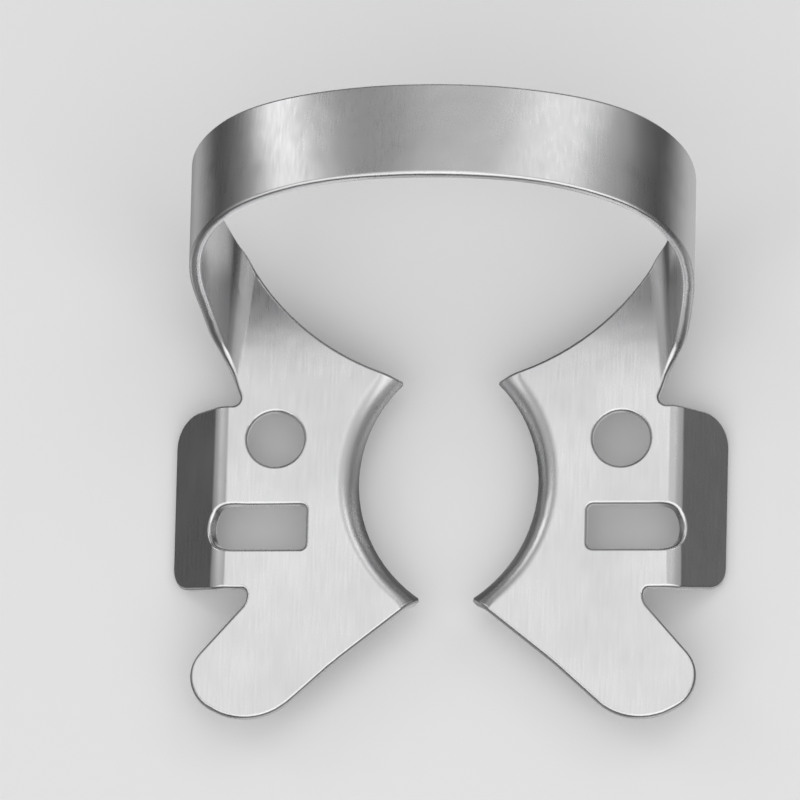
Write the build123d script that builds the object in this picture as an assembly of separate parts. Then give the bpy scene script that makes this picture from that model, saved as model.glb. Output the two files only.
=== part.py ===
from build123d import *
from math import atan2, cos, degrees, hypot, radians, sin
import os

# A winged molar clamp for a rubber dam: one strip of spring steel, stamped and bent.
# Two jaw plates lie level, joined behind by a high bow that springs them together.
# The origin is midway between the jaws, level with the upper faces of the plates.
# The bow is at the back, +Y, and up is away from the gum.

# The sheet, the bevel that breaks its rims, and how sharp a corner has to be to get one
sheet = 0.6
rim_bevel = 0.15
rim_corner = 40
overrun = 2.0

# The bow, seen from the front: its outer size, how far up it is widest, how much of the
# rise from there its shoulders take, and how far its crown drops towards the back
bow_width = 24.5
bow_height = 14.0
widest_share = 0.393
shoulder_share = 0.854
crown_drop = 0.95

# An inset is how far inside the widest place of the bow a thing lies, so that the plates
# follow the bow when its width changes, while the jaws keep to their tooth

# The line along which each arm turns up out of its plate, from front to back
bend_front_inset = 1.65
bend_front_y = 5.3
bend_front_radius = 1.1
bend_back_inset = 2.38
bend_back_y = 11.3
bend_back_radius = 1.6

# How far back each edge of the strip lies at the end of the bend, where the bow is
# widest, at the top of its shoulder and at its crown
front_bend_end_y = 7.5
front_widest_y = 9.45
front_shoulder_y = 11.5
front_crown_y = 12.0
back_bend_end_y = 13.1
back_widest_y = 14.75
back_shoulder_y = 16.4
back_crown_y = 16.85

# The jaw: its edge is an arc about a centre across the midline
jaw_radius = 7.0
jaw_center_x = -2.72
jaw_center_y = 0.84
lip_angle = 50
lip_bend_radius = 0.6
lip_width = 1.2

# The outline of a plate, from the back prong round to the front prong
back_prong_angle = 46.3
arm_curve_radius = 12.5
front_prong_angle = -56.5
back_notch_inset = 1.95
back_notch_radius = 0.4
front_notch_inset = 2.3
front_notch_y = -5.35
front_notch_radius = 0.3
front_notch_corner_radius = 0.8
front_wing_waist_inset = 6.65
front_wing_waist_y = -8.35
front_wing_waist_radius = 12.0
front_wing_inner_inset = 2.81
front_wing_inner_y = -11.85
front_wing_inner_radius = 3.1
front_wing_outer_inset = -1.38
front_wing_outer_y = -9.6
front_wing_outer_radius = 1.8

# The side wing, bent down outside the plate
wing_bend_inset = 1.25
wing_bend_radius = 0.8
wing_angle = 45
wing_length = 2.95
wing_back_y = 4.58
wing_front_y = -4.62
wing_tip_front_y = -4.05
wing_back_corner_radius = 1.6
wing_front_corner_radius = 1.2

# The holes: a round one for the forceps, and a slot that runs on into the side wing
hole_diameter = 2.8
hole_inset = 3.52
hole_y = 2.88
slot_inset = 5.11
slot_back_y = -0.42
slot_front_y = -2.7
slot_corner_radius = 0.3
slot_reach = 0.2


half = sheet / 2
widest_x = bow_width / 2 - half
widest_height = widest_share * bow_height
back_notch_x = widest_x - back_notch_inset
front_notch_x = widest_x - front_notch_inset
wing_bend_x = widest_x - wing_bend_inset
bend_front = (widest_x - bend_front_inset, bend_front_y)
bend_back = (widest_x - bend_back_inset, bend_back_y)
front_wing_waist = (widest_x - front_wing_waist_inset, front_wing_waist_y)
front_wing_inner = (widest_x - front_wing_inner_inset, front_wing_inner_y)
front_wing_outer = (widest_x - front_wing_outer_inset, front_wing_outer_y)
arc_steps = (4, 3, 4, 3)


def tangent_circle(span, rise, radius):
    """Radius of the larger circle that touches one of this radius from outside it."""
    return (span**2 + rise**2 - radius**2) / (2 * (rise - radius))


def between(y, start, end, at_start, at_end):
    """A size at this depth, from its values at two depths."""
    return at_start + (at_end - at_start) * (y - start) / (end - start)


def bow_arcs(y):
    """Middle line of the sheet on the right at this depth: centre, radius, two angles."""
    bend_x = between(y, bend_front_y, bend_back_y, bend_front[0], bend_back[0])
    bend_radius = between(y, bend_front_y, bend_back_y, bend_front_radius, bend_back_radius)
    span = widest_x - bend_x
    rise = widest_height + half - bend_radius
    wall_radius = tangent_circle(rise, span, bend_radius)
    wall_start = degrees(atan2(-rise, wall_radius - span))
    crown_z = bow_height - half - between(y, front_crown_y, back_crown_y, 0, crown_drop)
    shoulder_radius = shoulder_share * (crown_z - widest_height)
    shoulder_x = widest_x - shoulder_radius
    crown_radius = tangent_circle(shoulder_x, crown_z - widest_height, shoulder_radius)
    shoulder_end = degrees(atan2(widest_height - crown_z + crown_radius, shoulder_x))
    return [
        ((bend_x, bend_radius - half), bend_radius, -90, wall_start),
        ((widest_x - wall_radius, widest_height), wall_radius, wall_start, 0),
        ((shoulder_x, widest_height), shoulder_radius, 0, shoulder_end),
        ((0, crown_z - crown_radius), crown_radius, shoulder_end, 90),
    ]


def on_sheet(y, piece, share, side):
    """Point of the middle line part of the way along one arc of the bow, and its normal."""
    center, radius, start, end = bow_arcs(y)[piece]
    angle = radians(start + (end - start) * share)
    outwards = Vector(side * cos(angle), 0, sin(angle))
    return Vector(side * center[0], y, center[1]) + outwards * radius, outwards


def edge_depth(stations, first_slope, piece, share):
    """Depth and slope of an edge of the strip, part of the way along one arc of the bow."""
    runs = [0]
    for _, radius, start, end in bow_arcs(stations[0]):
        runs.append(runs[-1] + radius * radians(end - start))
    slopes = [first_slope]
    for n in (1, 2, 3):
        slopes.append((stations[n + 1] - stations[n - 1]) / (runs[n + 1] - runs[n - 1]))
    slopes.append(0)
    length = runs[piece + 1] - runs[piece]
    rise = stations[piece + 1] - stations[piece]
    start, end = slopes[piece] * length, slopes[piece + 1] * length
    bulge, lean = start + end - 2 * rise, 3 * rise - 2 * start - end
    depth = stations[piece] + share * (start + share * (lean + share * bulge))
    slope = (start + share * (2 * lean + share * 3 * bulge)) / length
    return depth, slope


def jaw_point(angle, radius):
    """Point at this angle and distance from the centre of the right jaw's arc."""
    turn = radians(angle)
    return (jaw_center_x + radius * cos(turn), jaw_center_y + radius * sin(turn))


back_prong = jaw_point(back_prong_angle, jaw_radius)
front_prong = jaw_point(front_prong_angle, jaw_radius)
arm_edge = RadiusArc(bend_back, back_prong, arm_curve_radius)


def plate_outline():
    """Outline of the right plate: arm root, notches, front wing and jaw."""
    corners = [
        (bend_front, 0),
        ((back_notch_x, wing_back_y), back_notch_radius),
        ((wing_bend_x, wing_back_y), 0),
        ((wing_bend_x, wing_front_y), 0),
        ((front_notch_x, wing_front_y), front_notch_radius),
        ((front_notch_x, front_notch_y), front_notch_corner_radius),
        (front_wing_outer, front_wing_outer_radius),
        (front_wing_inner, front_wing_inner_radius),
        (front_wing_waist, front_wing_waist_radius),
        (front_prong, 0),
    ]
    points = [point for point, _ in corners]
    radii = [radius for _, radius in corners[1:-1]]
    rim = FilletPolyline(*points, radius=radii)
    middle = jaw_point((back_prong_angle + front_prong_angle) / 2, jaw_radius)
    jaw = ThreePointArc(front_prong, middle, back_prong)
    return make_face([rim, jaw, arm_edge, Line(bend_back, bend_front)])


def jaw_lip(outline):
    """The edge of the jaw, turned down all along its arc and pointed at both prongs."""
    root = jaw_radius + lip_width
    down = radians(lip_angle)
    center = (root, -half - lip_bend_radius)
    length = (lip_width - (lip_bend_radius + half) * sin(down)) / cos(down)
    upper = CenterArc(center, lip_bend_radius + half, 90, lip_angle)
    lower = CenterArc(center, lip_bend_radius - half, 90, lip_angle)
    step = Vector(-cos(down), -sin(down)) * length
    section = make_face([
        upper,
        Line(upper @ 1, upper @ 1 + step),
        Line(upper @ 1 + step, lower @ 1 + step),
        Line(lower @ 1 + step, lower @ 1),
        lower,
        Line(lower @ 0, upper @ 0),
    ])
    ring = revolve(Plane.XZ * section, Axis.Z, 360)
    ring = Pos(jaw_center_x, jaw_center_y) * ring
    return ring & extrude(outline, amount=jaw_radius, both=True)


def side_wing():
    """The side wing: a bend and a flap with rounded corners."""
    down = radians(wing_angle)
    center = (wing_bend_x, -half - wing_bend_radius)
    outer = CenterArc(center, wing_bend_radius + half, 90, -wing_angle)
    inner = CenterArc(center, wing_bend_radius - half, 90, -wing_angle)
    section = make_face([outer, Line(outer @ 1, inner @ 1), inner, Line(inner @ 0, outer @ 0)])
    bend = extrude(Pos(0, wing_back_y) * (Plane.XZ * section), amount=wing_back_y - wing_front_y)
    flap = FilletPolyline(
        (0, wing_back_y), (wing_length, wing_back_y),
        (wing_length, wing_tip_front_y), (0, wing_front_y),
        radius=[wing_back_corner_radius, wing_front_corner_radius],
    )
    flap = make_face([flap, Line((0, wing_front_y), (0, wing_back_y))])
    return bend + extrude(wing_plane() * flap, amount=-sheet)


def wing_plane():
    """Upper face of the flap, measured outwards from the end of its bend."""
    down = radians(wing_angle)
    reach = wing_bend_radius + half
    start = (wing_bend_x + reach * sin(down), 0, reach * (cos(down) - 1))
    return Plane(start, x_dir=(cos(down), 0, -sin(down)), z_dir=(sin(down), 0, cos(down)))


def slot():
    """The slot: square at its inner end, round where it reaches into the side wing."""
    width = slot_back_y - slot_front_y
    middle = (slot_back_y + slot_front_y) / 2
    joining_x = wing_bend_x - width / 2
    inner_x = widest_x - slot_inset
    corners = [(joining_x, slot_front_y), (inner_x, slot_front_y),
               (inner_x, slot_back_y), (joining_x, slot_back_y)]
    square_end = FilletPolyline(*corners, radius=[slot_corner_radius, slot_corner_radius])
    square_end = make_face([square_end, Line(corners[-1], corners[0])])
    round_end = Pos(slot_reach - width / 2, middle) * (
        Circle(width / 2) + Pos(-width / 4) * Rectangle(width / 2, width)
    )
    return extrude(square_end, amount=overrun, both=True) + extrude(
        wing_plane() * round_end, amount=overrun, both=True
    )


def rims(body):
    """Edges at which two faces of the plate meet at a corner, but for those at the bow."""
    across = Vector(bend_front) - Vector(bend_back)
    root_plane = Plane(bend_back, x_dir=across, z_dir=across.cross(Vector(0, 0, 1)))
    meeting = {}
    for face in body.faces():
        for edge in face.edges():
            meeting.setdefault(hash(edge), [edge]).append(face)
    picked = []
    for edge, *faces in meeting.values():
        middle = edge @ 0.5
        if len(faces) == 2 and abs(root_plane.to_local_coords(middle).Z) > rim_bevel / 10:
            one, other = [face.normal_at(middle) for face in faces]
            if one.get_angle(other) > rim_corner:
                picked.append(edge)
    return picked


def plate():
    """The right plate with its jaw lip, side wing and holes, and its rims broken."""
    outline = plate_outline()
    flat = outline - Pos(jaw_center_x, jaw_center_y) * Circle(jaw_radius + lip_width)
    body = extrude(flat, amount=-sheet) + jaw_lip(outline) + side_wing()
    round_hole = Pos(widest_x - hole_inset, hole_y) * Cylinder(hole_diameter / 2, 2 * overrun)
    body = body - round_hole - slot()
    return chamfer(rims(body), rim_bevel)


def strip_section(piece, share, side):
    """The strip cut across at one place: a slim rectangle with bevelled corners."""
    front = [bend_front_y, front_bend_end_y, front_widest_y, front_shoulder_y, front_crown_y]
    back = [bend_back_y, back_bend_end_y, back_widest_y, back_shoulder_y, back_crown_y]
    front_slope = (bend_front_y - wing_back_y) / (bend_front[0] - back_notch_x)
    back_slope = (arm_edge % 0).Y / (arm_edge % 0).X
    front_y, front_turn = edge_depth(front, front_slope, piece, share)
    back_y, back_turn = edge_depth(back, back_slope, piece, share)
    corner, front_out = on_sheet(front_y, piece, share, side)
    far_corner, back_out = on_sheet(back_y, piece, share, side)
    across = far_corner - corner
    width = across.length
    near, far = rim_bevel * hypot(1, front_turn), rim_bevel * hypot(1, back_turn)
    level = half - rim_bevel
    outline = Polyline(
        (near, half), (width - far, half), (width, level), (width, -level),
        (width - far, -half), (near, -half), (0, -level), (0, level), close=True,
    )
    return Plane(corner, x_dir=across, z_dir=across.cross(front_out + back_out)) * outline.wire()


def root(plate, side):
    """The cut end of a plate's arm, which the bow grows out of."""
    middle = (Vector(bend_front) + Vector(bend_back)) / 2
    return plate.faces().sort_by_distance((side * middle.X, middle.Y, -half))[0].outer_wire()


def bow(right_plate, left_plate):
    """The bow and the upturned parts of both arms: one bent strip from plate to plate."""
    places = [(n, step / steps) for n, steps in enumerate(arc_steps) for step in range(steps)]
    right = [strip_section(n, share, 1) for n, share in places[1:] + [(3, 1)]]
    left = [strip_section(n, share, -1) for n, share in reversed(places[1:])]
    return Solid.make_loft([root(right_plate, 1), *right, *left, root(left_plate, -1)])


right_plate = plate()
left_plate = mirror(right_plate, about=Plane.YZ)
clamp = right_plate + left_plate + bow(right_plate, left_plate)

os.makedirs("parts", exist_ok=True)
export_step(clamp, "parts/clamp_body.step")
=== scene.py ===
from math import pi, radians

import bmesh
import bpy
from mathutils import Matrix, Vector
from mathutils.geometry import intersect_point_line
from mathutils.kdtree import KDTree


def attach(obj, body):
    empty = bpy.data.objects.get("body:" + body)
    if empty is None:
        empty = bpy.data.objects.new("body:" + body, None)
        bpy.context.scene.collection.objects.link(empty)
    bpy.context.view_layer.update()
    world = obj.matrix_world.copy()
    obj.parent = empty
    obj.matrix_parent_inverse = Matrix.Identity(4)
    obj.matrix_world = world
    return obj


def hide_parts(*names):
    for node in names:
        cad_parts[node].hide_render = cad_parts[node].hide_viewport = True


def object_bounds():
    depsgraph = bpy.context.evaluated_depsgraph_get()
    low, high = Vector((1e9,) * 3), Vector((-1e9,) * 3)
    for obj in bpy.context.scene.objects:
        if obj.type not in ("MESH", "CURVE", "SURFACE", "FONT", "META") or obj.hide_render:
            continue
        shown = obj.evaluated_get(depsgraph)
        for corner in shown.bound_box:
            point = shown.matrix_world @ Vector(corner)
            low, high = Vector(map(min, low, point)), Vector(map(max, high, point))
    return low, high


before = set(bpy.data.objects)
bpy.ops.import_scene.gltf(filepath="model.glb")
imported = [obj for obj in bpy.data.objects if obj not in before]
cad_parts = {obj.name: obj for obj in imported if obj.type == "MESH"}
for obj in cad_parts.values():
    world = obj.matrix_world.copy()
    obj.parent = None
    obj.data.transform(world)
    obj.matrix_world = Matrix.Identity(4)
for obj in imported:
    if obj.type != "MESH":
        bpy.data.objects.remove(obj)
cad_low, cad_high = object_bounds()

# The clamp: one strip of stainless spring steel, stamped from sheet and bent, with its
# rims broken and then rounded by tumbling. The stamped surfaces stay flat up to their
# rims, and each rim rolls over in one highlight.
weld_distance = 1e-7
sharp_corner = radians(65)
rim_area = 20e-6  # square metres: a surface with less is a rim
smoothing_reach = 0.0004
flat_share = 0.99999
flat_weight = 1e6


def number_surfaces(mesh, number):
    """Numbers the triangles of each stamped surface and rim, which are apart until welded.

    Gives the area of each surface and rim in turn, and whether it is flat.
    """
    surfaces = []
    for seed in mesh.faces:
        if seed[number]:
            continue
        seed[number] = len(surfaces) + 1
        patch = [seed]
        for face in patch:
            for edge in face.edges:
                new = [other for other in edge.link_faces if not other[number]]
                for other in new:
                    other[number] = seed[number]
                patch += new
        area = sum(face.calc_area() for face in patch)
        lean = sum((face.normal * face.calc_area() for face in patch), Vector())
        surfaces.append((area, lean.length > flat_share * area))
    return surfaces


def even_normals(mesh, number):
    """Normal of each triangle, evened out over its neighbours on the same surface."""
    centers = KDTree(len(mesh.faces))
    for face in mesh.faces:
        centers.insert(face.calc_center_median(), face.index)
    centers.balance()
    numbers = [face[number] for face in mesh.faces]
    tilts = [face.normal * face.calc_area() for face in mesh.faces]
    normals = []
    for face in mesh.faces:
        near = centers.find_range(face.calc_center_median(), smoothing_reach)
        alike = [tilts[index] for _, index, _ in near if numbers[index] == face[number]]
        normals.append(sum(alike, Vector()).normalized())
    return normals


def smooth_fan(face, corner):
    """A face, and the others round one of its corners that smooth edges join it to."""
    fan = [face]
    for part in fan:
        for edge in part.edges:
            if edge.smooth and corner in edge.verts:
                fan += [new for new in edge.link_faces if new not in fan]
    return fan


def rolled_normals(mesh, number, surfaces):
    """Corner normals that keep to the largest flat surface in the smooth fan at each corner."""
    even = even_normals(mesh, number)
    corner_normals = []
    for face in mesh.faces:
        for loop in face.loops:
            total = Vector()
            for part in smooth_fan(face, loop.vert):
                area, flat = surfaces[part[number] - 1]
                weight = (area / rim_area) ** 2
                if flat and area > rim_area:
                    weight *= flat_weight
                total += even[part.index] * weight
            corner_normals.append(total.normalized())
    return corner_normals


def nearest_normal(spot, border):
    """How far a spot is from the nearest edge of a border, and the normal there."""
    nearest, normal = None, None
    for (start, start_normal), (end, end_normal) in border:
        _, share = intersect_point_line(spot, start, end)
        share = min(max(share, 0.0), 1.0)
        away = (start.lerp(end, share) - spot).length
        if nearest is None or away < nearest:
            nearest, normal = away, start_normal.lerp(end_normal, share)
    return nearest, normal.normalized()


def blend_over_rims(mesh, number, surfaces, corner_normals):
    """Sets the normals inside each rim between those of its borders, to even its highlight."""
    corner_at = {}
    for face in mesh.faces:
        for loop in face.loops:
            corner_at[loop.vert.index, face[number]] = loop.index
    borders = {}
    for edge in mesh.edges:
        met = sorted({face[number] for face in edge.link_faces})
        if len(met) < 2:
            continue
        for rim, other in (met, reversed(met)):
            ends = [(vert.co, corner_normals[corner_at[vert.index, rim]]) for vert in edge.verts]
            borders.setdefault(rim, {}).setdefault(other, []).append(ends)
    between = {}
    for vert in mesh.verts:
        met = {face[number] for face in vert.link_faces}
        rim = met.pop()
        if met or surfaces[rim - 1][0] >= rim_area:
            continue
        total = Vector()
        for border in borders[rim].values():
            away, normal = nearest_normal(vert.co, border)
            total += normal / away
        between[vert.index] = total.normalized()
    for face in mesh.faces:
        for loop in face.loops:
            if loop.vert.index in between:
                corner_normals[loop.index] = between[loop.vert.index]


steel_mesh = bmesh.new()
steel_mesh.from_mesh(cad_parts["clamp_body"].data)
number = steel_mesh.faces.layers.int.new("surface")
surfaces = number_surfaces(steel_mesh, number)
bmesh.ops.remove_doubles(steel_mesh, verts=steel_mesh.verts, dist=weld_distance)
steel_mesh.verts.index_update()
steel_mesh.faces.index_update()
corners = [loop for face in steel_mesh.faces for loop in face.loops]
for index, corner in enumerate(corners):
    corner.index = index
for face in steel_mesh.faces:
    area, _ = surfaces[face[number] - 1]
    face.material_index = int(area < rim_area)
    face.smooth = True
for edge in steel_mesh.edges:
    edge.smooth = edge.calc_face_angle() < sharp_corner
corner_normals = rolled_normals(steel_mesh, number, surfaces)
blend_over_rims(steel_mesh, number, surfaces, corner_normals)

clamp_mesh = bpy.data.meshes.new("clamp")
steel_mesh.to_mesh(clamp_mesh)
steel_mesh.free()
clamp_mesh.attributes.remove(clamp_mesh.attributes["custom_normal"])
clamp_mesh.normals_split_custom_set(corner_normals)
clamp_mesh.materials.clear()
clamp = bpy.data.objects.new("spring_steel_clamp", clamp_mesh)
bpy.context.scene.collection.objects.link(clamp)

# The finish of the steel: the stock is ground along its width, which leaves fine lines from
# front to back, and tumbling leaves faint clouds and a slight waviness. The rims take more
# of the tumbling, and come out brighter than the surfaces.
line_stretch = (1.0, 0.06, 1.0)
cloud_detail, line_detail = 3.0, 2.0
line_share, line_height_share = 0.35, 0.02
grain_low, grain_high = 0.35, 0.65
blue_tint = 1.01
color_a, color_b, color_result = 6, 7, 2  # places of a mix node's colour sockets

grain = bpy.data.node_groups.new("tumbled grain", "ShaderNodeTree")
sockets = grain.interface
for name in ("Cloud Scale", "Line Scale", "Smoothest", "Dullest"):
    sockets.new_socket(name, in_out="INPUT", socket_type="NodeSocketFloat")
for name in ("Light Tone", "Dark Tone"):
    sockets.new_socket(name, in_out="INPUT", socket_type="NodeSocketColor")
sockets.new_socket("Color", in_out="OUTPUT", socket_type="NodeSocketColor")
for name in ("Roughness", "Height"):
    sockets.new_socket(name, in_out="OUTPUT", socket_type="NodeSocketFloat")

nodes, links = grain.nodes, grain.links
given, put_out = nodes.new("NodeGroupInput"), nodes.new("NodeGroupOutput")
place = nodes.new("ShaderNodeTexCoord")
along = nodes.new("ShaderNodeMapping")
along.inputs["Scale"].default_value = line_stretch
links.new(place.outputs["Object"], along.inputs["Vector"])
clouds, lines = nodes.new("ShaderNodeTexNoise"), nodes.new("ShaderNodeTexNoise")
clouds.inputs["Detail"].default_value = cloud_detail
lines.inputs["Detail"].default_value = line_detail
links.new(place.outputs["Object"], clouds.inputs["Vector"])
links.new(given.outputs["Cloud Scale"], clouds.inputs["Scale"])
links.new(along.outputs["Vector"], lines.inputs["Vector"])
links.new(given.outputs["Line Scale"], lines.inputs["Scale"])
both = nodes.new("ShaderNodeMix")
both.inputs["Factor"].default_value = line_share
links.new(clouds.outputs["Fac"], both.inputs["A"])
links.new(lines.outputs["Fac"], both.inputs["B"])
dullness = nodes.new("ShaderNodeMapRange")
dullness.inputs["From Min"].default_value = grain_low
dullness.inputs["From Max"].default_value = grain_high
links.new(both.outputs["Result"], dullness.inputs["Value"])
links.new(given.outputs["Smoothest"], dullness.inputs["To Min"])
links.new(given.outputs["Dullest"], dullness.inputs["To Max"])
links.new(dullness.outputs["Result"], put_out.inputs["Roughness"])
tone = nodes.new("ShaderNodeMix")
tone.data_type = "RGBA"
links.new(both.outputs["Result"], tone.inputs["Factor"])
links.new(given.outputs["Light Tone"], tone.inputs[color_a])
links.new(given.outputs["Dark Tone"], tone.inputs[color_b])
links.new(tone.outputs[color_result], put_out.inputs["Color"])
height = nodes.new("ShaderNodeMix")
height.inputs["Factor"].default_value = line_height_share
links.new(clouds.outputs["Fac"], height.inputs["A"])
links.new(lines.outputs["Fac"], height.inputs["B"])
links.new(height.outputs["Result"], put_out.inputs["Height"])

finishes = [
    ("satin spring steel", 170.0, 9000.0, 0.24, 0.34, 0.82, 0.68, 0.00007),
    ("tumbled rim", 400.0, 9000.0, 0.16, 0.22, 0.84, 0.78, 0.00001),
]
for name, cloud_scale, line_scale, smoothest, dullest, light, dark, waviness in finishes:
    steel = bpy.data.materials.new(name)
    steel.use_nodes = True
    nodes, links = steel.node_tree.nodes, steel.node_tree.links
    shader = nodes["Principled BSDF"]
    shader.inputs["Metallic"].default_value = 1.0
    finish = nodes.new("ShaderNodeGroup")
    finish.node_tree = grain
    finish.inputs["Cloud Scale"].default_value = cloud_scale
    finish.inputs["Line Scale"].default_value = line_scale
    finish.inputs["Smoothest"].default_value = smoothest
    finish.inputs["Dullest"].default_value = dullest
    finish.inputs["Light Tone"].default_value = (light, light, light * blue_tint, 1)
    finish.inputs["Dark Tone"].default_value = (dark, dark, dark * blue_tint, 1)
    bump = nodes.new("ShaderNodeBump")
    bump.inputs["Distance"].default_value = waviness
    links.new(finish.outputs["Color"], shader.inputs["Base Color"])
    links.new(finish.outputs["Roughness"], shader.inputs["Roughness"])
    links.new(finish.outputs["Height"], bump.inputs["Height"])
    links.new(bump.outputs["Normal"], shader.inputs["Normal"])
    clamp_mesh.materials.append(steel)
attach(clamp, "root")
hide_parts("clamp_body")

# The floor: a large sheet of white card that the clamp lies on. The steel mirrors the dim
# studio in its place, as the dark wings and sides of the bow show.
floor_size = 1.8
card_color = (0.96, 0.96, 0.96, 1)
card_roughness, card_shine = 0.9, 0.1

floor_mesh = bpy.data.meshes.new("floor")
reach = floor_size / 2
card_corners = [(-reach, -reach), (reach, -reach), (reach, reach), (-reach, reach)]
floor_mesh.from_pydata([(x, y, cad_low.z) for x, y in card_corners], [], [(0, 1, 2, 3)])
floor = bpy.data.objects.new("floor", floor_mesh)
bpy.context.scene.collection.objects.link(floor)
card = bpy.data.materials.new("white card")
card.use_nodes = True
card_sockets = card.node_tree.nodes["Principled BSDF"].inputs
card_sockets["Base Color"].default_value = card_color
card_sockets["Roughness"].default_value = card_roughness
card_sockets["Specular IOR Level"].default_value = card_shine
floor_mesh.materials.append(card)
floor.visible_glossy = False

# The light: a soft box overhead, one behind at each side and a wide one in front, in a
# studio that is pale above and below, dark round the horizon, and darker in a band a
# little left of the middle.
soft_boxes = [
    ("overhead soft box", (-0.05, 0.14, 0.6), 0.38, 0.38, 0.47),
    ("left soft box", (-0.41, 0.295, 0.325), 0.15, 0.19, 1.4),
    ("right soft box", (0.275, 0.31, 0.43), 0.25, 0.15, 0.85),
    ("front soft box", (0.0, -0.45, 0.44), 1.50, 0.90, 0.8),
]
for name, spot, width, height, glow in soft_boxes:
    lamp = bpy.data.lights.new(name, "AREA")
    lamp.shape = "RECTANGLE"
    lamp.size, lamp.size_y = width, height
    lamp.energy = glow * pi * width * height  # glow is the lamp's radiance
    box = bpy.data.objects.new(name, lamp)
    box.location = spot
    box.rotation_mode = "QUATERNION"
    box.rotation_quaternion = (-Vector(spot)).to_track_quat("-Z", "Y")
    bpy.context.scene.collection.objects.link(box)

studio = bpy.data.worlds.new("studio")
studio.use_nodes = True
nodes, links = studio.node_tree.nodes, studio.node_tree.links
direction = nodes.new("ShaderNodeTexCoord")
parts = nodes.new("ShaderNodeSeparateXYZ")
links.new(direction.outputs["Generated"], parts.inputs["Vector"])
walls = nodes.new("ShaderNodeMix")
walls.data_type, walls.blend_type = "RGBA", "MULTIPLY"
walls.inputs["Factor"].default_value = 1.0
shades = {
    "Z": [
        (-0.8, 0.6), (-0.55, 0.32), (-0.32, 0.05), (-0.1, 0.07), (0.0, 0.12),
        (0.2, 0.14), (0.45, 0.42), (0.75, 0.48), (0.9, 0.62),
    ],
    "X": [(-0.56, 1.0), (-0.46, 0.5), (-0.22, 0.48), (-0.14, 1.0)],
}
for (axis, stops), socket in zip(shades.items(), (color_a, color_b)):
    spread = nodes.new("ShaderNodeMapRange")
    spread.inputs["From Min"].default_value = -1.0
    links.new(parts.outputs[axis], spread.inputs["Value"])
    ramp = nodes.new("ShaderNodeValToRGB")
    while len(ramp.color_ramp.elements) < len(stops):
        ramp.color_ramp.elements.new(0.5)  # each is moved to its own place below
    for stop, (share, shade) in zip(ramp.color_ramp.elements, stops):
        stop.position = (share + 1) / 2
        stop.color = (shade, shade, shade, 1)
    links.new(spread.outputs["Result"], ramp.inputs["Fac"])
    links.new(ramp.outputs["Color"], walls.inputs[socket])
links.new(walls.outputs[color_result], nodes["Background"].inputs["Color"])
bpy.context.scene.world = studio

# The camera: above the front edge and a little to the right, turned so that the jaws stay
# level, with a long lens from far away.
camera_right = Vector((0.99554, 0.02383, -0.09124)).normalized()
camera_up = Vector((0.00290, 0.95935, 0.28222)).normalized()
camera_back = camera_right.cross(camera_up)
picture_width = 0.03882
lens, film = 1000.0, 36.0
aim_right, aim_up = -0.0022717, 0.0046076
near_clip, far_clip = 0.01, 10
aim = camera_right * aim_right + camera_up * aim_up

camera_data = bpy.data.cameras.new("camera")
camera_data.lens, camera_data.sensor_width = lens, film
camera_data.clip_start, camera_data.clip_end = near_clip, far_clip
camera = bpy.data.objects.new("camera", camera_data)
turn = Matrix((camera_right, camera_up, camera_back)).transposed().to_4x4()
spot = aim + camera_back * (picture_width * lens / film)
camera.matrix_world = Matrix.Translation(spot) @ turn
bpy.context.scene.collection.objects.link(camera)
bpy.context.scene.camera = camera
bpy.context.scene.view_settings.view_transform = "Standard"
